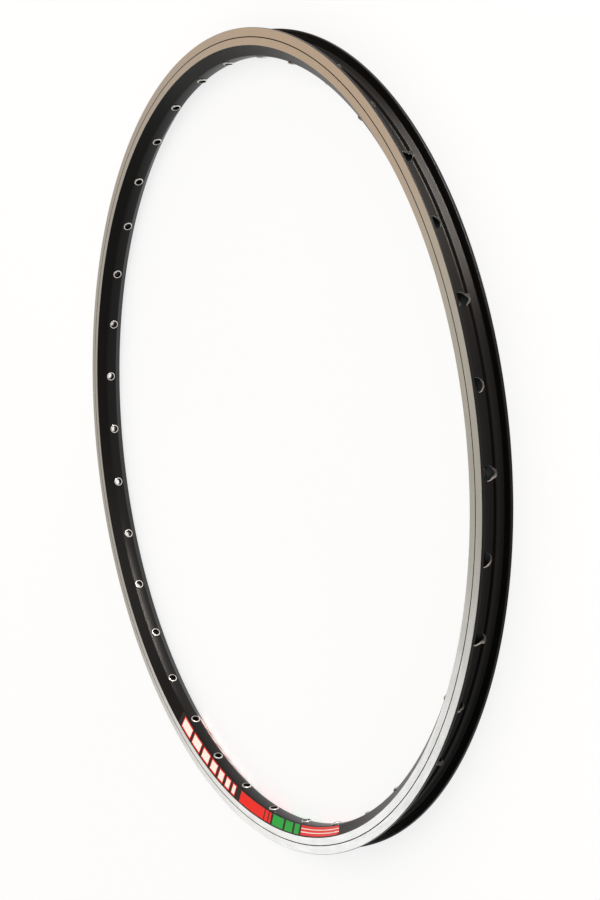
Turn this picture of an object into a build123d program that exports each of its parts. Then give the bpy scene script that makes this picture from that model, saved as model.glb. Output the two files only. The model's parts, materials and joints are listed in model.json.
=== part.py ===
from build123d import *
import os
from math import degrees

# Double-wall bicycle rim for a 559 mm bead seat, lying flat with its axle along Z.
# Millimetres and degrees; the origin is the centre of the wheel, and the valve hole is on +X.

# Hoop: overall form
bead_seat_radius = 279.5
flange_height = 6.0
rim_width = 21.0
section_height = 17.8
bed_width = 8.6
track_height = 11.3

# Hoop: walls
flange_wall = 1.6
side_wall = 1.5
bed_wall = 2.2
bridge_wall = 1.3

# Hoop: bead hook, tyre channel and wear groove
hook_reach = 0.4
hook_height = 2.0
tip_chamfer = 0.6
shoulder_fall = 1.0
channel_depth = 3.0
channel_floor_width = 7.2
channel_mouth_width = 8.8
groove_drop = 6.1
groove_width = 0.7
groove_depth = 0.4

# Spoke holes with their eyelet lips, access holes and valve hole
spoke_count = 36
spoke_stagger = 0.7
access_diameter = 8.7
access_margin = 0.2
eyelet_bore = 4.5
eyelet_lip_diameter = 7.2
eyelet_lip_height = 0.8
eyelet_edge = 0.25
eyelet_sink = 0.15
valve_diameter = 8.5

# Joint sleeve inside the chamber, opposite the valve hole
sleeve_angle = 180.0
sleeve_length = 36.0
sleeve_wall = 1.0
sleeve_fit = 0.1

# Printed films on the sloped side walls, each on its layer of adhesive
label_start = 173.0
label_end = 228.0
label_margin = 0.5
label_film = 0.1
label_adhesive = 0.06

# Radii and heights that follow from the sizes above
rim_radius = bead_seat_radius + flange_height
half_width = rim_width / 2
bed_radius = rim_radius - section_height
chamber_radius = bed_radius + bed_wall
track_radius = rim_radius - track_height
groove_radius = rim_radius - groove_drop
channel_radius = bead_seat_radius - channel_depth
mouth_radius = bead_seat_radius - shoulder_fall
lip_radius = bed_radius - eyelet_lip_height
lip_root_radius = bed_radius + eyelet_sink

# Root of each flange: from the outer edge of the wear groove to the bead seat
flange_face = half_width - flange_wall
root_outside = (groove_radius + groove_width / 2, half_width)
root_inside = (bead_seat_radius, flange_face)

# Side wall: its outer foot, its direction up to the brake track, and its outward normal
wall_foot = Vector(bed_radius, bed_width / 2)
wall_rise = Vector(track_radius, half_width) - wall_foot
wall_slope = wall_rise.normalized()
wall_normal = Vector(-wall_slope.Y, wall_slope.X)


def profile_face(outline):
    """Face in the XZ plane from (radius, height) points."""
    return make_face(Plane.XZ * Polyline(*outline, close=True))


def mirrored(half):
    """Outline from the points on one side of the middle plane and their mirror images."""
    return half + [(radius, -height) for radius, height in reversed(half)]


def hoop_outline():
    """Outside of the box section: spoke bed, side wall, foot of the brake track, shoulder and tyre channel."""
    return mirrored([
        (bed_radius, bed_width / 2),
        (track_radius, half_width),
        (groove_radius - groove_width / 2, half_width),
        (groove_radius, half_width - groove_depth),
        root_outside,
        root_inside,
        (mouth_radius, channel_mouth_width / 2),
        (channel_radius, channel_floor_width / 2),
    ])


def chamber_outline():
    """Closed chamber between the spoke bed and the bridge, with a flat land for the access holes."""
    start = wall_foot - wall_normal * side_wall
    wall_face = half_width - side_wall
    floor_face = start.Y + (chamber_radius - start.X) * wall_slope.Y / wall_slope.X
    knee_radius = start.X + (wall_face - start.Y) * wall_slope.X / wall_slope.Y
    land_face = access_diameter / 2 + spoke_stagger + access_margin
    return mirrored([
        (chamber_radius, floor_face),
        (knee_radius, wall_face),
        (mouth_radius - bridge_wall, wall_face),
        (mouth_radius - bridge_wall, land_face + bridge_wall),
        (channel_radius - bridge_wall, land_face),
    ])


def radial_cylinder(diameter, start, end):
    """Cylinder along X from one radius of the wheel to another."""
    outline = [(start, 0), (start, diameter / 2), (end, diameter / 2), (end, 0)]
    return revolve(profile_face(outline), Axis.X)


def spoke_places():
    """Place of each spoke hole: evenly round the axle, and on alternate sides of the middle plane."""
    places = []
    for index in range(spoke_count):
        side = 1 if index % 2 == 0 else -1
        angle = (index + 0.5) * 360 / spoke_count
        places.append(Rot(Z=angle) * Pos(Z=side * spoke_stagger))
    return places


def eyelet_lip():
    """Coned lip of a pressed eyelet, on the X axis, with its root sunk in the spoke bed."""
    outline = [
        (lip_radius, 0),
        (lip_radius, eyelet_bore / 2 + eyelet_edge),
        (lip_root_radius, eyelet_lip_diameter / 2),
        (lip_root_radius, 0),
    ]
    return revolve(profile_face(outline), Axis.X)


def rim_hoop():
    """Rolled box section with its valve hole, its access holes and an eyelet round each spoke hole."""
    hoop = revolve(profile_face(hoop_outline()) - profile_face(chamber_outline()), Axis.Z)
    chamber_middle = (chamber_radius + channel_radius - bridge_wall) / 2
    hole_start = lip_radius - eyelet_lip_height
    bore = radial_cylinder(eyelet_bore, hole_start, chamber_middle)
    access = radial_cylinder(access_diameter, chamber_middle, rim_radius)
    lip = eyelet_lip()
    lips = []
    holes = [radial_cylinder(valve_diameter, hole_start, rim_radius)]
    for place in spoke_places():
        lips.append(place * lip)
        holes.append(place * bore)
        holes.append(place * access)
    return hoop + lips - holes


def flange(side):
    """Hooked flange with the outer part of a brake track, on the upper (1) or lower (-1) side."""
    hook_face = flange_face - hook_reach
    hook_root = rim_radius - hook_height
    outline = [
        root_outside,
        (rim_radius - tip_chamfer, half_width),
        (rim_radius, half_width - tip_chamfer),
        (rim_radius, hook_face),
        (hook_root + hook_reach, hook_face),
        (hook_root, flange_face),
        root_inside,
    ]
    return revolve(profile_face([(radius, side * height) for radius, height in outline]), Axis.Z)


def joint_sleeve():
    """Hollow sleeve that joins the butted ends of the rolled hoop."""
    outside = offset(profile_face(chamber_outline()), -sleeve_fit, kind=Kind.INTERSECTION)
    inside = offset(profile_face(chamber_outline()), -sleeve_fit - sleeve_wall, kind=Kind.INTERSECTION)
    arc = degrees(sleeve_length / chamber_radius)
    return Rot(Z=sleeve_angle - arc / 2) * revolve(outside - inside, Axis.Z, arc)


def label(side):
    """Printed film along the side wall, on the upper (1) or lower (-1) side."""
    low = wall_foot + wall_slope * label_margin + wall_normal * label_adhesive
    high = low + wall_slope * (wall_rise.length - 2 * label_margin)
    lift = wall_normal * label_film
    corners = [low, high, high + lift, low + lift]
    face = profile_face([(corner.X, side * corner.Y) for corner in corners])
    return Rot(Z=label_start) * revolve(face, Axis.Z, label_end - label_start)


os.makedirs("parts", exist_ok=True)
export_step(rim_hoop(), "parts/rim_hoop.step")
export_step(flange(1), "parts/flange_upper.step")
export_step(flange(-1), "parts/flange_lower.step")
export_step(joint_sleeve(), "parts/joint_sleeve.step")
export_step(label(1), "parts/label_upper.step")
export_step(label(-1), "parts/label_lower.step")
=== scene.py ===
"""Looks of a bicycle rim that lies flat on a pale floor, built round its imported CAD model."""

import json
import logging
from bisect import bisect_right
from dataclasses import dataclass
from enum import Enum, IntEnum
from math import atan2, hypot, pi, radians, sqrt, tan
from typing import Any, Sequence

import bmesh
import bpy
from mathutils import Matrix, Vector

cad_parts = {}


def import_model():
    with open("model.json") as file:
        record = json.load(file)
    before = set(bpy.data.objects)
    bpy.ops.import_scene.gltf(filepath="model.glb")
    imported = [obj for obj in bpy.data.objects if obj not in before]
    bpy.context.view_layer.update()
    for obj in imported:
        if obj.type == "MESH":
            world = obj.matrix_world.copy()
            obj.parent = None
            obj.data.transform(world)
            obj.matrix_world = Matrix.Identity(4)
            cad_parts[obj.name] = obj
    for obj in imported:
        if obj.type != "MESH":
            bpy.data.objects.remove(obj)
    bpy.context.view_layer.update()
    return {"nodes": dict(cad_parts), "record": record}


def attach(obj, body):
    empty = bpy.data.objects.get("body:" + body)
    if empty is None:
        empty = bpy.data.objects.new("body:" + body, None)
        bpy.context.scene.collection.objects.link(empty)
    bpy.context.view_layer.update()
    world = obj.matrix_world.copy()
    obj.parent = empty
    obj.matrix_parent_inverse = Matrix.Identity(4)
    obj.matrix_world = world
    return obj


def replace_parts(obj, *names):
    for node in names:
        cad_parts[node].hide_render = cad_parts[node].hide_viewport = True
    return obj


LOG = logging.getLogger("bicycle_rim")
BODY = "root"
MM = 0.001
FULL_TURN = 2 * pi
AXLE = Vector((0.0, 0.0, 1.0))
RADIAL = Vector((1.0, 0.0, 0.0))
CRISP_ANGLE = 30.0
RELIEF_DEPTH = 0.1 * MM
# Part of a turn from the lines of a metal to the stretch of its highlight
ACROSS_THE_LINES = 0.25
# Numbers of a mix node's colour sockets, which have the same names as its other sockets
MIX_SHARE = 0
MIX_FIRST = 6
MIX_SECOND = 7
MIX_RESULT = 2
Colour = tuple[float, float, float, float]
LinePart = bmesh.types.BMVert | bmesh.types.BMEdge


def linear(hex_colour: str) -> Colour:
    """Turns an sRGB hex colour into a linear one.

    Args:
        hex_colour: Colour such as "#1f1e1d".

    Returns:
        Linear red, green and blue, and an alpha of 1.
    """
    channels = [int(hex_colour[start:start + 2], 16) / 255 for start in (1, 3, 5)]
    red, green, blue = (c / 12.92 if c <= 0.04045 else ((c + 0.055) / 1.055) ** 2.4 for c in channels)
    return red, green, blue, 1.0


def add_node(tree: bpy.types.NodeTree, kind: str, inputs: dict[str | int, Any] | None = None,
             **settings: Any) -> bpy.types.Node:
    """Adds a node with its settings, values and links.

    Args:
        tree: Node tree that gets the node.
        kind: Node type, such as "ShaderNodeTexNoise".
        inputs: Value or linked output socket for each input, by name or number.
        **settings: Properties of the node itself.

    Returns:
        The new node.
    """
    node = tree.nodes.new(kind)
    for name, value in settings.items():
        setattr(node, name, value)
    for name, value in (inputs or {}).items():
        if isinstance(value, bpy.types.NodeSocket):
            tree.links.new(value, node.inputs[name])
        else:
            node.inputs[name].default_value = value
    return node


def start_material(name: str, values: dict[str, Any]) -> tuple[bpy.types.Material, bpy.types.Node]:
    """Starts a material from plain values on its shader.

    Args:
        name: Name of the real material.
        values: Value for each shader socket.

    Returns:
        The material and its shader node.
    """
    material = bpy.data.materials.new(name)
    material.use_nodes = True
    shader = material.node_tree.nodes["Principled BSDF"]
    for socket, value in values.items():
        shader.inputs[socket].default_value = value
    return material, shader


class Side(Enum):
    """Side of the middle plane of the rim."""

    UPPER = 1
    LOWER = -1


class Ink(Enum):
    """Colour of a field of the printed film, with a deeper shade that mottles it."""

    FILM = ("black_film", "#1b1110", "#140c0b")
    RED = ("red_ink", "#ea1f18", "#dd1914")
    WHITE = ("white_ink", "#f6f3ee", "#ece8e1")
    GREEN = ("green_ink", "#12ac3c", "#0f9c35")


class Band(Enum):
    """Kind of field along the printed film."""

    GAP = "gap"
    OUTLINE = "outline"
    BAR = "bar"
    GREEN_BAR = "green bar"
    PANEL = "panel"
    STRIPED_PANEL = "striped panel"


class Row(Enum):
    """Kind of row across the printed film."""

    MARGIN = "margin"
    OUTLINE = "outline"
    BODY = "body"
    STRIPE = "stripe"


@dataclass(frozen=True)
class Corner:
    """Corner of a section: two coordinates, and the reach and segments of its rounding, in millimetres."""

    first: float
    second: float
    setback: float = 0.0
    segments: int = 1


@dataclass(frozen=True)
class RimSection:
    """Sizes of the rolled section: radii from the axle and heights from the middle plane, in millimetres."""

    tip_radius: float = 285.5
    seat_radius: float = 279.5
    groove_radius: float = 279.4
    mouth_radius: float = 278.5
    channel_radius: float = 276.5
    track_radius: float = 274.2
    chamber_radius: float = 269.9
    bed_radius: float = 267.7
    half_width: float = 10.5
    flange_face: float = 8.9
    hook_face: float = 8.5
    hook_height: float = 2.0
    mouth_half: float = 4.4
    channel_half: float = 3.6
    bed_half: float = 4.3
    bed_crown: float = 0.6
    groove_half: float = 0.35
    groove_depth: float = 0.4
    bridge_wall: float = 1.3
    side_wall: float = 1.5
    land_half: float = 4.48
    ceiling_half: float = 5.28
    bed_rounding: float = 0.4
    track_rounding: float = 0.12
    tip_rounding: float = 0.35
    hook_edge_rounding: float = 0.5
    hook_rounding: float = 0.25
    seat_rounding: float = 0.7
    mouth_rounding: float = 0.45
    channel_rounding: float = 0.6
    crown_rounding: float = 3.9
    crown_segments: int = 12
    round_segments: int = 4
    small_segments: int = 2

    def outside(self) -> list[Corner]:
        """Draws the outside of the section.

        Returns:
            Its corners in order, as one loop.
        """
        hook_root = self.tip_radius - self.hook_height
        hook_run = self.flange_face - self.hook_face
        half = [
            Corner(self.bed_radius, self.bed_half, self.bed_rounding, self.round_segments),
            Corner(self.track_radius, self.half_width, self.track_rounding, self.small_segments),
            Corner(self.groove_radius - self.groove_half, self.half_width),
            Corner(self.groove_radius, self.half_width - self.groove_depth),
            Corner(self.groove_radius + self.groove_half, self.half_width),
            Corner(self.tip_radius, self.half_width, self.tip_rounding, self.round_segments),
            Corner(self.tip_radius, self.hook_face, self.hook_edge_rounding, self.round_segments),
            Corner(hook_root + hook_run, self.hook_face, self.hook_rounding, self.small_segments),
            Corner(hook_root, self.flange_face, self.hook_rounding, self.small_segments),
            Corner(self.seat_radius, self.flange_face, self.seat_rounding, self.round_segments),
            Corner(self.mouth_radius, self.mouth_half, self.mouth_rounding, self.round_segments),
            Corner(self.channel_radius, self.channel_half, self.channel_rounding, self.round_segments),
        ]
        # A corner twice as high as the crown is rounded down to it.
        peak = self.bed_radius - 2 * self.bed_crown
        return mirrored(half) + [Corner(peak, 0.0, self.crown_rounding, self.crown_segments)]

    def chamber(self) -> list[Corner]:
        """Draws the closed chamber inside the section.

        Returns:
            Its corners in order, as one loop.
        """
        foot = Vector((self.bed_radius, self.bed_half))
        slope = (Vector((self.track_radius, self.half_width)) - foot).normalized()
        start = foot - self.side_wall * Vector((-slope.y, slope.x))
        rise = slope.y / slope.x
        wall_face = self.half_width - self.side_wall
        ceiling = self.mouth_radius - self.bridge_wall
        half = [
            Corner(self.chamber_radius, start.y + (self.chamber_radius - start.x) * rise),
            Corner(start.x + (wall_face - start.y) / rise, wall_face),
            Corner(ceiling, wall_face),
            Corner(ceiling, self.ceiling_half),
            Corner(self.channel_radius - self.bridge_wall, self.land_half),
        ]
        return mirrored(half)


def mirrored(half: list[Corner]) -> list[Corner]:
    """Returns corners on one side of the middle plane with their mirror images, as one loop."""
    return half + [Corner(c.first, -c.second, c.setback, c.segments) for c in reversed(half)]


def section_loop(mesh: bmesh.types.BMesh, corners: Sequence[Corner]) -> list[bmesh.types.BMEdge]:
    """Draws a section in the XZ plane and rounds its corners.

    Args:
        mesh: Empty mesh that gets the loop.
        corners: Corners of the section in order, in millimetres.

    Returns:
        The edges of the closed loop.
    """
    points = [mesh.verts.new((c.first * MM, 0.0, c.second * MM)) for c in corners]
    mesh.faces.new(points)
    for setback, segments in sorted({(c.setback, c.segments) for c in corners if c.setback}):
        picked = [v for v, c in zip(points, corners) if (c.setback, c.segments) == (setback, segments)]
        bmesh.ops.bevel(mesh, geom=picked, offset=setback * MM, offset_type="OFFSET", affect="VERTICES",
                        segments=segments, profile=0.5, material=-1)
    bmesh.ops.delete(mesh, geom=mesh.faces[:], context="FACES_ONLY")
    return mesh.edges[:]


def spun(corners: Sequence[Corner], axis: Vector, steps: int) -> bmesh.types.BMesh:
    """Spins a section a full turn into a closed shell that faces outwards.

    Args:
        corners: Corners of the section in the XZ plane, in millimetres.
        axis: Direction of the axis through the origin.
        steps: Steps in the full turn.

    Returns:
        The closed mesh.
    """
    mesh = bmesh.new()
    edges = section_loop(mesh, corners)
    bmesh.ops.spin(mesh, geom=mesh.verts[:] + edges, cent=(0, 0, 0), axis=axis, dvec=(0, 0, 0),
                   angle=FULL_TURN, steps=steps, use_merge=True, use_duplicate=False)
    bmesh.ops.recalc_face_normals(mesh, faces=mesh.faces[:])
    return mesh


def merge_into(target: bmesh.types.BMesh, source: bmesh.types.BMesh, place: Matrix) -> None:
    """Adds a placed copy of one mesh to another.

    Args:
        target: Mesh that grows.
        source: Mesh that is copied.
        place: Place of the copy.
    """
    carrier = bpy.data.meshes.new("carrier")
    source.to_mesh(carrier)
    carrier.transform(place)
    target.from_mesh(carrier)
    bpy.data.meshes.remove(carrier)


def finished_piece(name: str, mesh: bmesh.types.BMesh, materials: Sequence[bpy.types.Material],
                   sharp_angle: float = CRISP_ANGLE) -> bpy.types.Object:
    """Turns a finished mesh into a smooth object at the origin.

    Args:
        name: Name of the piece.
        mesh: Its mesh, which is freed.
        materials: Materials in the order of the faces' numbers.
        sharp_angle: Angle past which an edge stays crisp, in degrees.

    Returns:
        The object, in the scene.
    """
    data = bpy.data.meshes.new(name)
    mesh.to_mesh(data)
    mesh.free()
    for material in materials:
        data.materials.append(material)
    smooth(data, sharp_angle)
    piece = bpy.data.objects.new(name, data)
    bpy.context.scene.collection.objects.link(piece)
    return piece


def smooth(data: bpy.types.Mesh, sharp_angle: float = CRISP_ANGLE) -> None:
    """Shades a mesh smooth, with crisp edges past an angle in degrees."""
    data.shade_smooth()
    data.set_sharp_from_angle(angle=radians(sharp_angle))


def ring_coordinates(tree: bpy.types.NodeTree, across: float, along: float) -> bpy.types.NodeSocket:
    """Makes pattern coordinates that run round the hoop with no seam.

    Args:
        tree: Node tree of a material on a piece that is centred on the axle.
        across: Size of the pattern across the section, in metres.
        along: Size of the pattern along the hoop, in metres.

    Returns:
        A vector socket in which the pattern's size is 1.
    """
    repeats = RimSection.tip_radius * MM / along
    place = add_node(tree, "ShaderNodeTexCoord").outputs["Object"]
    flat = add_node(tree, "ShaderNodeVectorMath", {0: place, 1: (1, 1, 0)}, operation="MULTIPLY").outputs[0]
    radius = add_node(tree, "ShaderNodeVectorMath", {0: flat}, operation="LENGTH").outputs["Value"]
    outward = add_node(tree, "ShaderNodeVectorMath", {0: flat}, operation="NORMALIZE").outputs[0]
    turns = add_node(tree, "ShaderNodeVectorMath", {0: outward, "Scale": repeats},
                     operation="SCALE").outputs[0]
    height = add_node(tree, "ShaderNodeSeparateXYZ", {0: place}).outputs["Z"]
    reach = add_node(tree, "ShaderNodeMath", {0: radius, 1: height}, operation="ADD").outputs[0]
    lines = add_node(tree, "ShaderNodeMath", {0: reach, 1: 1 / across}, operation="MULTIPLY").outputs[0]
    lift = add_node(tree, "ShaderNodeCombineXYZ", {"Z": lines}).outputs[0]
    return add_node(tree, "ShaderNodeVectorMath", {0: turns, 1: lift}, operation="ADD").outputs[0]


def mark_metal(tree: bpy.types.NodeTree, shader: bpy.types.Node, wear: bpy.types.NodeSocket,
               colours: tuple[str, str], roughness: tuple[float, float], full_wear: float = 1.0) -> None:
    """Lets a pattern of wear change the colour and the gloss of a metal.

    Args:
        tree: Node tree of the metal.
        shader: Its shader node.
        wear: Pattern from 0, where the metal is clean.
        colours: Hex colours of clean metal and of metal with a wear of 1.
        roughness: Roughness of clean metal and of fully worn metal.
        full_wear: Value of the pattern at which the roughness is that of fully worn metal.
    """
    tint = add_node(tree, "ShaderNodeMix", {
        MIX_SHARE: wear, MIX_FIRST: linear(colours[0]), MIX_SECOND: linear(colours[1])},
        data_type="RGBA").outputs[MIX_RESULT]
    gloss = add_node(tree, "ShaderNodeMapRange", {
        "Value": wear, "From Max": full_wear, "To Min": roughness[0], "To Max": roughness[1]}).outputs[0]
    tree.links.new(tint, shader.inputs["Base Color"])
    tree.links.new(gloss, shader.inputs["Roughness"])


def line_metal(tree: bpy.types.NodeTree, shader: bpy.types.Node, lines: bpy.types.NodeSocket,
               relief: float, anisotropy: float) -> None:
    """Raises fine lines round the hoop, across which a highlight stretches.

    Args:
        tree: Node tree of the metal.
        shader: Its shader node.
        lines: Pattern of the lines.
        relief: Strength of the relief, from 0 to 1.
        anisotropy: Stretch of the highlight, from 0 to 1.
    """
    bump = add_node(tree, "ShaderNodeBump", {"Height": lines, "Strength": relief, "Distance": RELIEF_DEPTH})
    tangent = add_node(tree, "ShaderNodeTangent", direction_type="RADIAL", axis="Z")
    tree.links.new(bump.outputs[0], shader.inputs["Normal"])
    tree.links.new(tangent.outputs[0], shader.inputs["Tangent"])
    shader.inputs["Anisotropic"].default_value = anisotropy
    shader.inputs["Anisotropic Rotation"].default_value = ACROSS_THE_LINES


@dataclass(frozen=True)
class BlackAnodising:
    """Black anodised aluminium, extruded and rolled."""

    colours: tuple[str, str] = ("#0e0d0d", "#181615")
    roughness: tuple[float, float] = (0.31, 0.39)
    specular: float = 0.16
    anisotropy: float = 0.6
    relief: float = 0.02
    line_width: float = 0.45 * MM
    line_length: float = 70 * MM

    def material(self, name: str = "black_anodised_aluminium") -> bpy.types.Material:
        """Makes the material.

        Args:
            name: Name of the material.

        Returns:
            The material.
        """
        # A dyed oxide over extruded metal: a near-black satin, with a sheen that the die lines spread.
        material, shader = start_material(name, {"Specular IOR Level": self.specular})
        tree = material.node_tree
        # Die lines are about 0.05 mm apart, drawn nine times as coarse so that they show.
        lines = add_node(tree, "ShaderNodeTexNoise", {
            "Vector": ring_coordinates(tree, self.line_width, self.line_length), "Scale": 1.0, "Detail": 3.0,
            "Roughness": 0.6}).outputs["Fac"]
        mark_metal(tree, shader, lines, self.colours, self.roughness)
        line_metal(tree, shader, lines, self.relief, self.anisotropy)
        return material


@dataclass(frozen=True)
class TurnedAluminium:
    """Bare aluminium of the brake tracks, turned in concentric lines."""

    colours: tuple[str, str] = ("#dbdbda", "#c3c2bf")
    roughness: tuple[float, float] = (0.24, 0.36)
    full_wear: float = 0.6
    anisotropy: float = 0.55
    relief: float = 0.05
    line_width: float = 0.32 * MM
    line_length: float = 26 * MM
    scuff_width: float = 3.5 * MM
    scuff_length: float = 14 * MM

    def material(self) -> bpy.types.Material:
        """Makes the material.

        Returns:
            The material.
        """
        # Fine turning lines follow the hoop, so a light stretches across the band and the band looks grained.
        material, shader = start_material("turned_aluminium", {"Metallic": 1.0})
        tree = material.node_tree
        # The turning feed is about 0.1 mm, drawn three times as coarse so that it shows.
        lines = add_node(tree, "ShaderNodeTexNoise", {
            "Vector": ring_coordinates(tree, self.line_width, self.line_length), "Scale": 1.0, "Detail": 4.0,
            "Roughness": 0.65}).outputs["Fac"]
        scuffs = add_node(tree, "ShaderNodeTexNoise", {
            "Vector": ring_coordinates(tree, self.scuff_width, self.scuff_length), "Scale": 1.0,
            "Detail": 5.0}).outputs["Fac"]
        wear = add_node(tree, "ShaderNodeMath", {0: lines, 1: scuffs}, operation="MULTIPLY").outputs[0]
        mark_metal(tree, shader, wear, self.colours, self.roughness, self.full_wear)
        line_metal(tree, shader, lines, self.relief, self.anisotropy)
        return material


@dataclass(frozen=True)
class BareMetal:
    """Metal with no lines in it, such as a drilled hole's wall or a plated eyelet."""

    name: str
    colours: tuple[str, str]
    roughness: tuple[float, float]
    mark_size: float
    metallic: float = 1.0
    relief: float = 0.08

    def material(self) -> bpy.types.Material:
        """Makes the material.

        Returns:
            The material.
        """
        # Cut, drawn or plated metal: one plain tone, broken by the marks that its making left.
        material, shader = start_material(self.name, {"Metallic": self.metallic})
        tree = material.node_tree
        place = add_node(tree, "ShaderNodeTexCoord").outputs["Object"]
        marks = add_node(tree, "ShaderNodeTexNoise", {
            "Vector": place, "Scale": 1 / self.mark_size, "Detail": 4.0}).outputs["Fac"]
        mark_metal(tree, shader, marks, self.colours, self.roughness)
        bump = add_node(tree, "ShaderNodeBump", {
            "Height": marks, "Strength": self.relief, "Distance": RELIEF_DEPTH})
        tree.links.new(bump.outputs[0], shader.inputs["Normal"])
        return material


# Walls of the drilled holes: bright cut metal, with chatter marks that scatter the light.
DRILLED_ALUMINIUM = BareMetal("drilled_aluminium", ("#dddbd8", "#bdbbb8"), (0.35, 0.50),
                              mark_size=0.8 * MM, metallic=0.5)
# Pressed eyelets: bright plating with soft dents from the press.
PLATED_STEEL = BareMetal("plated_steel", ("#e9e7e2", "#d5d2cb"), (0.24, 0.36), mark_size=1.5 * MM)
# Inside of the chamber, and the sleeve in it: drawn metal in a cool dark grey, darker than bare metal, which
# paints the shade inside the closed chamber.
CHAMBER_ALUMINIUM_PAINTED_SHADE = BareMetal("extruded_aluminium_painted_shade", ("#5f686b", "#505859"), (0.40, 0.55),
                               mark_size=4.0 * MM, metallic=0.7)


@dataclass(frozen=True)
class PrintedVinyl:
    """Vinyl film printed in one ink under a clear gloss layer."""

    ink: Ink
    grain: float = 0.7 * MM
    ripple: float = 3.0 * MM
    relief: float = 0.1
    roughness: float = 0.42
    specular: float = 0.3
    coat: float = 0.25
    coat_roughness: float = 0.12

    def material(self) -> bpy.types.Material:
        """Makes the material.

        Returns:
            The material.
        """
        # Screen-printed film: an even strong colour with a fine grain, under a gloss that ripples slightly.
        name, colour, shade = self.ink.value
        material, shader = start_material(f"printed_vinyl_{name}", {
            "Roughness": self.roughness, "Specular IOR Level": self.specular, "Coat Weight": self.coat,
            "Coat Roughness": self.coat_roughness})
        tree = material.node_tree
        place = add_node(tree, "ShaderNodeTexCoord").outputs["Object"]
        print_grain = add_node(tree, "ShaderNodeTexNoise", {
            "Vector": place, "Scale": 1 / self.grain, "Detail": 3.0}).outputs["Fac"]
        tint = add_node(tree, "ShaderNodeMix", {
            MIX_SHARE: print_grain, MIX_FIRST: linear(colour), MIX_SECOND: linear(shade)},
            data_type="RGBA").outputs[MIX_RESULT]
        ripples = add_node(tree, "ShaderNodeTexNoise", {
            "Vector": place, "Scale": 1 / self.ripple, "Detail": 1.0}).outputs["Fac"]
        bump = add_node(tree, "ShaderNodeBump", {
            "Height": ripples, "Strength": self.relief, "Distance": RELIEF_DEPTH})
        tree.links.new(tint, shader.inputs["Base Color"])
        tree.links.new(bump.outputs[0], shader.inputs["Normal"])
        tree.links.new(bump.outputs[0], shader.inputs["Coat Normal"])
        return material


@dataclass
class SpokeHoles:
    """Places of the radial holes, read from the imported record."""

    spokes: list[Matrix]
    valve: Matrix

    @classmethod
    def from_record(cls, record: dict[str, Any]) -> "SpokeHoles":
        """Reads the places of the holes.

        Args:
            record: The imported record, whose bore mounts stand on the holes' axes.

        Returns:
            A place for each hole, in which the hole runs along X from the axle.
        """
        spokes, valve = [], Matrix()
        for mount in record["mounts"]:
            if mount["kind"] != "bore":
                continue
            x, y, z = mount["pos_m"]
            place = Matrix.Rotation(atan2(y, x), 4, AXLE) @ Matrix.Translation((0, 0, z))
            if mount["name"].startswith("spoke"):
                spokes.append(place)
            else:
                valve = place
        return cls(spokes, valve)


class HoopFace(IntEnum):
    """Kinds of face on the hoop, by the number of their material."""

    BLACK = 0
    TURNED = 1
    DRILLED = 2
    CHAMBER = 3


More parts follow.
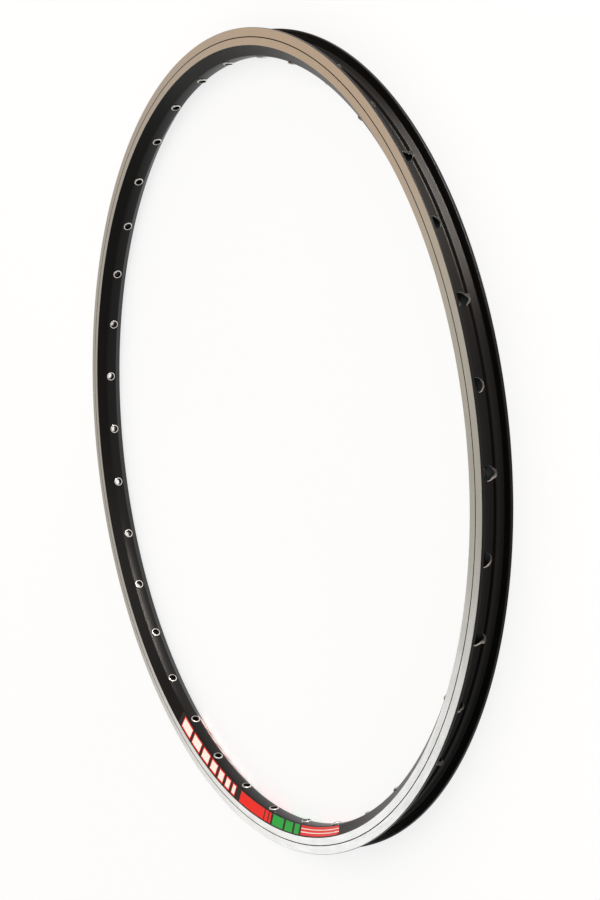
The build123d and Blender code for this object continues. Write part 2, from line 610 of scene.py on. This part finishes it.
@dataclass
class RimHoop:
    """Rolled double-wall hoop with turned brake tracks and its drilled holes; sizes in millimetres."""

    section: RimSection
    holes: SpokeHoles
    steps: int = 540
    hole_segments: int = 48
    seat_diameter: float = 5.66
    access_diameter: float = 8.7
    valve_diameter: float = 8.5
    hole_split: float = 272.3
    drill_gap: float = 0.3
    hole_reach: float = 6.0
    track_skin: float = 0.02

    def build(self) -> bpy.types.Object:
        """Builds the drilled hoop.

        Returns:
            The piece, with black, turned, drilled and inner faces.
        """
        mesh = spun(self.section.outside(), AXLE, self.steps)
        for face in mesh.faces:
            face.material_index = self.outer_finish(face.calc_center_median())
        chamber = spun(self.section.chamber(), AXLE, self.steps)
        bmesh.ops.reverse_faces(chamber, faces=chamber.faces[:])
        for face in chamber.faces:
            face.material_index = HoopFace.CHAMBER
        merge_into(mesh, chamber, Matrix())
        chamber.free()
        finishes = {
            HoopFace.BLACK: BlackAnodising().material(),
            HoopFace.TURNED: TurnedAluminium().material(),
            HoopFace.DRILLED: DRILLED_ALUMINIUM.material(),
            # The chamber's inside takes metal darkened to paint the shade in it.
            HoopFace.CHAMBER: CHAMBER_ALUMINIUM_PAINTED_SHADE.material(),
        }
        hoop = finished_piece("rim_hoop_dressed", mesh, [finishes[kind] for kind in HoopFace])
        self.subtract(hoop, self.drills(finishes[HoopFace.DRILLED]))
        smooth(hoop.data)
        flat = hoop.modifiers.new("flat_faces_stay_flat", "WEIGHTED_NORMAL")
        flat.keep_sharp = True
        return hoop

    def outer_finish(self, centre: Vector) -> HoopFace:
        """Chooses the finish of a face on the outside of the section.

        Args:
            centre: Middle of the face.

        Returns:
            The turned finish on the brake tracks, and the black one elsewhere.
        """
        radius, height = hypot(centre.x, centre.y) / MM, abs(centre.z) / MM
        in_groove = abs(radius - self.section.groove_radius) < self.section.groove_half
        on_track = height > self.section.half_width - self.track_skin and radius > self.section.track_radius
        return HoopFace.TURNED if on_track and not in_groove else HoopFace.BLACK

    def drills(self, material: bpy.types.Material) -> bpy.types.Object:
        """Makes the drills that open the holes.

        Args:
            material: Finish of the holes' walls.

        Returns:
            One object with all the drills.
        """
        mesh = bmesh.new()
        inside = self.section.bed_radius - self.hole_reach
        outside = self.section.tip_radius + self.hole_reach
        for place in self.holes.spokes:
            self.add_drill(mesh, place, self.seat_diameter, inside, self.hole_split)
            self.add_drill(mesh, place, self.access_diameter, self.hole_split + self.drill_gap, outside)
        self.add_drill(mesh, self.holes.valve, self.valve_diameter, inside, outside)
        return finished_piece("drills", mesh, [material])

    def add_drill(self, mesh: bmesh.types.BMesh, place: Matrix, diameter: float, start: float,
                  end: float) -> None:
        """Adds one drill.

        Args:
            mesh: Mesh of the drills.
            place: Place of the hole.
            diameter: Diameter of the hole.
            start: Radius from the axle at which the drill starts.
            end: Radius from the axle at which it ends.
        """
        lying = Matrix.Translation(((start + end) / 2 * MM, 0, 0)) @ Matrix.Rotation(pi / 2, 4, "Y")
        bmesh.ops.create_cone(mesh, cap_ends=True, cap_tris=False, segments=self.hole_segments,
                              radius1=diameter / 2 * MM, radius2=diameter / 2 * MM,
                              depth=(end - start) * MM, matrix=place @ lying)

    def subtract(self, piece: bpy.types.Object, drills: bpy.types.Object) -> None:
        """Cuts the drills out of a piece and removes them.

        Args:
            piece: Piece that gets the holes.
            drills: Object with the drills.
        """
        cut = piece.modifiers.new("holes", "BOOLEAN")
        cut.operation = "DIFFERENCE"
        cut.solver = "EXACT"
        cut.material_mode = "TRANSFER"
        cut.object = drills
        scene_state = bpy.context.evaluated_depsgraph_get()
        data = bpy.data.meshes.new_from_object(piece.evaluated_get(scene_state))
        piece.modifiers.remove(cut)
        piece.data = data
        bpy.data.objects.remove(drills)

    def dress(self) -> bpy.types.Object:
        """Builds the hoop and sets it on its body in place of the CAD nodes.

        Returns:
            The piece.
        """
        hoop = self.build()
        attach(hoop, BODY)
        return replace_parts(hoop, "rim_hoop", "flange_upper", "flange_lower")


class EyeletFace(IntEnum):
    """Kinds of face on an eyelet, by the number of their material."""

    PLATED = 0
    BORE_SHADE = 1


@dataclass
class SpokeEyelets:
    """Pressed eyelets with rolled lips, one in each spoke hole; sizes in millimetres."""

    section: RimSection
    holes: SpokeHoles
    bore: float = 4.5
    tube_diameter: float = 5.6
    lip_diameter: float = 7.2
    lip_opening: float = 5.7
    lip_height: float = 0.8
    lip_sink: float = 0.1
    flare_diameter: float = 7.0
    flare_height: float = 0.6
    bore_rounding: float = 0.2
    lip_rounding: float = 0.5
    shoulder_rounding: float = 0.1
    flare_rounding: float = 0.3
    lip_segments: int = 5
    round_segments: int = 3
    small_segments: int = 2
    crisp_angle: float = 40.0
    steps: int = 40

    def build(self) -> bpy.types.Object:
        """Builds the eyelets.

        Returns:
            One piece with all of them.
        """
        seat = self.section.bed_radius - self.section.bed_crown
        crest = seat - self.lip_height
        floor = self.section.chamber_radius
        tail = floor + self.flare_height
        eyelet = spun([
            Corner(tail, self.bore / 2, self.bore_rounding, self.round_segments),
            Corner(seat, self.bore / 2),
            Corner(crest, self.lip_opening / 2),
            Corner(crest, self.lip_diameter / 2, self.lip_rounding, self.lip_segments),
            Corner(seat + self.lip_sink, self.lip_diameter / 2),
            Corner(seat + self.lip_sink, self.tube_diameter / 2),
            Corner(floor, self.tube_diameter / 2),
            Corner(floor, self.flare_diameter / 2, self.shoulder_rounding, self.small_segments),
            Corner(tail, self.flare_diameter / 2, self.flare_rounding, self.round_segments),
        ], RADIAL, self.steps)
        # Faces inside the bore, from the lip's crest to the flare, take a near-black finish that paints the
        # shade inside the tube.
        for face in eyelet.faces:
            centre = face.calc_center_median()
            in_bore = crest * MM < centre.x < tail * MM
            by_axis = hypot(centre.y, centre.z) < self.lip_opening / 2 * MM
            face.material_index = EyeletFace.BORE_SHADE if in_bore and by_axis else EyeletFace.PLATED
        mesh = bmesh.new()
        for place in self.holes.spokes:
            merge_into(mesh, eyelet, place)
        eyelet.free()
        finishes = {
            EyeletFace.PLATED: PLATED_STEEL.material(),
            # Near-black paint for the shade inside the bore, not a finish of the steel.
            EyeletFace.BORE_SHADE: BlackAnodising().material("bore_painted_shade"),
        }
        return finished_piece("spoke_eyelets_dressed", mesh, [finishes[kind] for kind in EyeletFace],
                              self.crisp_angle)

    def dress(self) -> bpy.types.Object:
        """Builds the eyelets and sets them on their body.

        Returns:
            The piece.
        """
        eyelets = self.build()
        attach(eyelets, BODY)
        return eyelets


@dataclass
class LabelFilm:
    """Printed film on a sloped side wall, with a plain design of bars and panels; sizes in millimetres."""

    section: RimSection
    side: Side
    start_angle: float = 173.0
    end_angle: float = 228.0
    margin: float = 0.5
    lift: float = 0.16
    thickness: float = 0.15
    slant: float = 34.0
    step_length: float = 2.5
    end_rounding: float = 3.0
    end_bluntness: float = 4.0
    rows: tuple[float, ...] = (0.0, 0.05, 0.16, 0.30, 0.39, 0.61, 0.70, 0.84, 0.95, 1.0)
    row_kinds: tuple[Row, ...] = (Row.MARGIN, Row.OUTLINE, Row.BODY, Row.STRIPE, Row.BODY,
                                  Row.STRIPE, Row.BODY, Row.OUTLINE, Row.MARGIN)
    bars: tuple[float, ...] = (15.0, 13.0, 11.0, 9.0, 7.5, 6.0, 4.5)
    bar_gap: float = 3.0
    outline: float = 0.9
    field_gap: float = 5.0
    panels: tuple[float, ...] = (38.0, 5.0, 3.0)
    panel_gap: float = 1.4
    green_bars: tuple[float, ...] = (16.0, 11.0, 7.0)

    def columns(self) -> list[tuple[Band, float]]:
        """Lists the fields along the film, apart from the last panel.

        Returns:
            The kind and length of each field.
        """
        fields = [(Band.GAP, self.field_gap)]
        for length in self.bars:
            fields += [(Band.OUTLINE, self.outline), (Band.BAR, length), (Band.OUTLINE, self.outline),
                       (Band.GAP, self.bar_gap)]
        fields.append((Band.GAP, self.field_gap))
        for length in self.panels:
            fields += [(Band.PANEL, length), (Band.GAP, self.panel_gap)]
        for length in self.green_bars:
            fields += [(Band.GAP, self.bar_gap / 2), (Band.GREEN_BAR, length), (Band.GAP, self.bar_gap / 2)]
        fields.append((Band.GAP, self.panel_gap))
        return fields

    def ink(self, band: Band, row: Row) -> Ink:
        """Chooses the ink of one field in one row.

        Args:
            band: Kind of field along the film.
            row: Kind of row across it.

        Returns:
            The ink.
        """
        if row is Row.MARGIN or band is Band.GAP:
            return Ink.FILM
        if band is Band.BAR:
            return Ink.RED if row is Row.OUTLINE else Ink.WHITE
        if band is Band.GREEN_BAR:
            return Ink.GREEN
        if band is Band.STRIPED_PANEL and row is Row.STRIPE:
            return Ink.WHITE
        return Ink.RED

    def build(self) -> bpy.types.Object:
        """Builds the film, field by field round the hoop.

        Returns:
            The piece, with a material for each ink.
        """
        foot = Vector((self.section.bed_radius, self.section.bed_half))
        rise = Vector((self.section.track_radius, self.section.half_width)) - foot
        along, out = rise.normalized(), Vector((-rise.y, rise.x)).normalized()
        low = foot + along * self.margin + out * self.lift
        high = low + along * (rise.length - 2 * self.margin)
        middle = (low.x + high.x) / 2
        mesh = bmesh.new()
        line = self.start_line(mesh, low, high, middle)
        fields = self.columns()
        used = sum(length for _, length in fields)
        fields.append((Band.STRIPED_PANEL, radians(self.end_angle - self.start_angle) * middle - used))
        known: set[bmesh.types.BMFace] = set()
        for band, length in fields:
            line = bmesh.ops.spin(mesh, geom=line, cent=(0, 0, 0), axis=AXLE, dvec=(0, 0, 0),
                                  angle=length / middle, steps=max(1, round(length / self.step_length)),
                                  use_merge=False, use_duplicate=False)["geom_last"]
            for face in mesh.faces:
                if face not in known:
                    known.add(face)
                    face.material_index = self.ink_number(face, band, low.x, high.x)
        self.round_end(line, low.x, high.x)
        mesh.normal_update()
        if mesh.faces[:][0].normal.z * self.side.value < 0:
            bmesh.ops.reverse_faces(mesh, faces=mesh.faces[:])
        inks = [PrintedVinyl(ink).material() for ink in Ink]
        film = finished_piece(f"label_{self.side.name.lower()}_dressed", mesh, inks)
        wall = film.modifiers.new("film", "SOLIDIFY")
        wall.thickness = self.thickness * MM
        wall.offset = -1.0
        return film

    def start_line(self, mesh: bmesh.types.BMesh, low: Vector, high: Vector, middle: float) -> list[LinePart]:
        """Draws the slanted line across the film at which it starts.

        Args:
            mesh: Empty mesh of the film.
            low: Radius and height of the film's edge by the spoke bed.
            high: Radius and height of its edge by the brake track.
            middle: Radius of its middle line.

        Returns:
            The line's points and edges.
        """
        height = (high - low).length
        points = []
        for share in self.rows:
            across = low.lerp(high, share)
            lean = tan(radians(self.slant)) * (share - 0.5) * height / middle
            turn = Matrix.Rotation(radians(self.start_angle) + lean, 4, AXLE)
            points.append(mesh.verts.new(turn @ Vector((across.x * MM, 0, self.side.value * across.y * MM))))
        edges = [mesh.edges.new(pair) for pair in zip(points, points[1:])]
        return points + edges

    def ink_number(self, face: bmesh.types.BMFace, band: Band, low: float, high: float) -> int:
        """Finds the number of a face's ink.

        Args:
            face: Face of the film.
            band: Kind of field that the face is in.
            low: Radius of the film's inner edge.
            high: Radius of its outer edge.

        Returns:
            The ink's place in the list of inks.
        """
        centre = face.calc_center_median()
        share = (hypot(centre.x, centre.y) / MM - low) / (high - low)
        row = self.row_kinds[bisect_right(self.rows, share) - 1]
        return list(Ink).index(self.ink(band, row))

    def round_end(self, line: Sequence[LinePart], low: float, high: float) -> None:
        """Draws the film's far end in to a round tip.

        Args:
            line: Points and edges of the film's last line.
            low: Radius of the film's inner edge.
            high: Radius of its outer edge.
        """
        for point in line:
            if isinstance(point, bmesh.types.BMVert):
                radius = hypot(point.co.x, point.co.y) / MM
                offset = abs(2 * (radius - low) / (high - low) - 1)
                back = self.end_rounding * (1 - sqrt(1 - min(offset, 1.0) ** self.end_bluntness))
                point.co.rotate(Matrix.Rotation(-back / radius, 3, AXLE))

    def dress(self) -> bpy.types.Object:
        """Builds the film and sets it on its body in place of its CAD node.

        Returns:
            The piece.
        """
        film = self.build()
        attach(film, BODY)
        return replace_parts(film, f"label_{self.side.name.lower()}")


@dataclass
class JointSleeve:
    """Sleeve inside the chamber, which keeps its CAD shape."""

    node: bpy.types.Object

    def dress(self) -> bpy.types.Object:
        """Gives the sleeve the dark grey metal of the chamber, whose darkness is painted shade.

        Returns:
            The piece.
        """
        self.node.data.materials.clear()
        self.node.data.materials.append(CHAMBER_ALUMINIUM_PAINTED_SHADE.material())
        return self.node


@dataclass(frozen=True)
class SoftLight:
    """Oval soft light that faces the rim, and that matt faces may be kept from.

    Angles are in degrees, sizes in metres and power in watts.
    """

    name: str
    azimuth: float
    elevation: float
    distance: float
    width: float
    height: float
    power: float
    colour: str
    lights_matt: bool = True

    def build(self) -> None:
        """Hangs the light, out of the camera's sight."""
        lamp = bpy.data.lights.new(self.name, "AREA")
        lamp.shape = "ELLIPSE"
        # The tilt brings the lamp's own X upright, so its first size is the height.
        lamp.size = self.height
        lamp.size_y = self.width
        lamp.energy = self.power
        lamp.color = linear(self.colour)[:3]
        light = bpy.data.objects.new(self.name, lamp)
        tilt = Matrix.Rotation(radians(90 - self.elevation), 4, "Y")
        turn = Matrix.Rotation(radians(self.azimuth), 4, "Z")
        light.matrix_world = turn @ tilt @ Matrix.Translation((0, 0, self.distance))
        light.visible_camera = False
        light.visible_diffuse = self.lights_matt
        bpy.context.scene.collection.objects.link(light)


@dataclass
class Studio:
    """Pale floor, soft lights and a plain room.

    Sizes are in metres. Each pair of numbers bounds a blend of the room's colours: on the way up from the
    horizon, as the sine of the elevation, or towards a direction, as the cosine of the angle to it.
    """

    floor_height: float
    floor_size: float = 5.0
    paper_colour: str = "#fdfdfd"
    seen_paper_colour: str = "#aaaaaa"
    paper_glow: float = 0.79
    paper_roughness: float = 0.9
    paper_specular: float = 0.1
    lights: tuple[SoftLight, ...] = (
        SoftLight("key", azimuth=-5.0, elevation=60.0, distance=5.0, width=4.0, height=4.0,
                  power=36.0, colour="#fdfdff"),
        SoftLight("softbox", azimuth=141.5, elevation=29.5, distance=6.0, width=2.1, height=2.1,
                  power=13.8, colour="#f7faff"),
        SoftLight("low_strip", azimuth=-8.0, elevation=2.2, distance=2.2, width=1.8, height=0.15,
                  power=56.0, colour="#fff0e2"),
        SoftLight("sheen_strip", azimuth=-3.0, elevation=2.2, distance=2.3, width=2.0, height=0.15,
                  power=65.0, colour="#fffaf5", lights_matt=False),
    )
    horizon_colour: str = "#fefefd"
    ceiling_colour: str = "#999896"
    wall_colour: str = "#b9b7b3"
    screen_foot_colour: str = "#bbb4ac"
    screen_head_colour: str = "#d9d1be"
    warm_colour: str = "#e0bc98"
    screen_direction: tuple[float, float, float] = (0.087, 0.996, 0.0)
    screen_edge: tuple[float, float] = (0.45, 0.62)
    screen_rise: tuple[float, float] = (0.38, 0.56)
    screen_top: tuple[float, float] = (0.66, 0.85)
    warm_direction: tuple[float, float, float] = (-0.071, 0.816, 0.574)
    warm_edge: tuple[float, float] = (0.960, 0.984)
    wall_top: tuple[float, float] = (0.32, 0.58)
    horizon_edge: tuple[float, float] = (0.05, 0.20)

    def build(self) -> None:
        """Builds the floor, the lights and the world."""
        self.lay_floor()
        for light in self.lights:
            light.build()
        self.paint_world()

    def lay_floor(self) -> None:
        """Lays a pale floor that keeps the shadow of the rim."""
        mesh = bmesh.new()
        bmesh.ops.create_grid(mesh, x_segments=1, y_segments=1, size=self.floor_size / 2,
                              matrix=Matrix.Translation((0, 0, self.floor_height)))
        # Matt seamless paper: plain white to the eye and in reflections, softly grey where the rim shades it.
        material, shader = start_material("matt_paper", {
            "Emission Color": linear(self.paper_colour), "Roughness": self.paper_roughness,
            "Specular IOR Level": self.paper_specular})
        tree = material.node_tree
        path = add_node(tree, "ShaderNodeLightPath").outputs
        seen = add_node(tree, "ShaderNodeMath", {0: path["Is Camera Ray"], 1: path["Is Glossy Ray"]},
                        operation="MAXIMUM").outputs[0]
        seen = add_node(tree, "ShaderNodeMath", {0: seen, 1: path["Is Transmission Ray"]},
                        operation="MAXIMUM").outputs[0]
        tint = add_node(tree, "ShaderNodeMix", {
            MIX_SHARE: seen, MIX_FIRST: linear(self.paper_colour),
            MIX_SECOND: linear(self.seen_paper_colour)}, data_type="RGBA").outputs[MIX_RESULT]
        glow = add_node(tree, "ShaderNodeMath", {0: seen, 1: self.paper_glow},
                        operation="MULTIPLY").outputs[0]
        tree.links.new(tint, shader.inputs["Base Color"])
        tree.links.new(glow, shader.inputs["Emission Strength"])
        finished_piece("floor", mesh, [material])

    def paint_world(self) -> None:
        """Paints a white horizon, pale walls, a grey ceiling, and a grey screen with a warm middle."""
        world = bpy.data.worlds.new("room")
        world.use_nodes = True
        tree = world.node_tree
        direction = add_node(tree, "ShaderNodeTexCoord").outputs["Generated"]
        height = add_node(tree, "ShaderNodeSeparateXYZ", {0: direction}).outputs["Z"]
        to_screen, to_warm = (
            add_node(tree, "ShaderNodeVectorMath", {0: direction, 1: axis},
                     operation="DOT_PRODUCT").outputs["Value"]
            for axis in (self.screen_direction, self.warm_direction))
        ceiling = linear(self.ceiling_colour)
        room = self.blend(tree, height, self.wall_top, linear(self.wall_colour), ceiling)
        screen = self.blend(tree, height, self.screen_rise, linear(self.screen_foot_colour),
                            linear(self.screen_head_colour))
        screen = self.blend(tree, to_warm, self.warm_edge, screen, linear(self.warm_colour))
        screen = self.blend(tree, height, self.screen_top, screen, ceiling)
        room = self.blend(tree, to_screen, self.screen_edge, room, screen)
        room = self.blend(tree, height, self.horizon_edge, linear(self.horizon_colour), room)
        tree.links.new(room, tree.nodes["Background"].inputs["Color"])
        bpy.context.scene.world = world

    def blend(self, tree: bpy.types.NodeTree, value: bpy.types.NodeSocket, edge: tuple[float, float],
              below: Colour | bpy.types.NodeSocket,
              above: Colour | bpy.types.NodeSocket) -> bpy.types.NodeSocket:
        """Blends two colours softly where a value passes an edge.

        Args:
            tree: Tree of the world.
            value: Value that decides.
            edge: Values at which the blend starts and ends.
            below: Colour under the edge.
            above: Colour over the edge.

        Returns:
            The blended colour.
        """
        share = add_node(tree, "ShaderNodeMapRange", {
            "Value": value, "From Min": edge[0], "From Max": edge[1]},
            interpolation_type="SMOOTHSTEP").outputs[0]
        return add_node(tree, "ShaderNodeMix", {MIX_SHARE: share, MIX_FIRST: below, MIX_SECOND: above},
                        data_type="RGBA").outputs[MIX_RESULT]


@dataclass(frozen=True)
class Viewpoint:
    """Camera at the photograph's viewing angle, in metres, degrees and pixels."""

    place: tuple[float, float, float] = (0.45822, -0.76343, 0.45117)
    target: tuple[float, float, float] = (0.02998, -0.06234, 0.0)
    roll: float = 96.42
    focal_pixels: float = 1398.9
    image_height: int = 900
    sensor: float = 36.0

    def build(self) -> None:
        """Sets up the camera and the plain view transform."""
        data = bpy.data.cameras.new("camera")
        data.sensor_width = self.sensor
        data.lens = self.sensor * self.focal_pixels / self.image_height
        camera = bpy.data.objects.new("camera", data)
        back = Vector(self.place) - Vector(self.target)
        turn = back.to_track_quat("Z", "Y").to_matrix() @ Matrix.Rotation(radians(-self.roll), 3, "Z")
        camera.matrix_world = Matrix.Translation(self.place) @ turn.to_4x4()
        bpy.context.scene.collection.objects.link(camera)
        bpy.context.scene.camera = camera
        bpy.context.scene.view_settings.view_transform = "Standard"


def main() -> None:
    """Builds the rim's pieces, the studio and the camera."""
    logging.basicConfig(level=logging.INFO, format="%(name)s: %(message)s")
    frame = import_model()
    section = RimSection()
    holes = SpokeHoles.from_record(frame["record"])
    pieces = [
        RimHoop(section, holes),
        SpokeEyelets(section, holes),
        LabelFilm(section, Side.UPPER),
        LabelFilm(section, Side.LOWER),
        JointSleeve(frame["nodes"]["joint_sleeve"]),
    ]
    for piece in pieces:
        dressed = piece.dress()
        LOG.info("%s: %d faces", dressed.name, len(dressed.data.polygons))
    Studio(floor_height=-section.half_width * MM).build()
    Viewpoint().build()


if __name__ == "__main__":
    main()
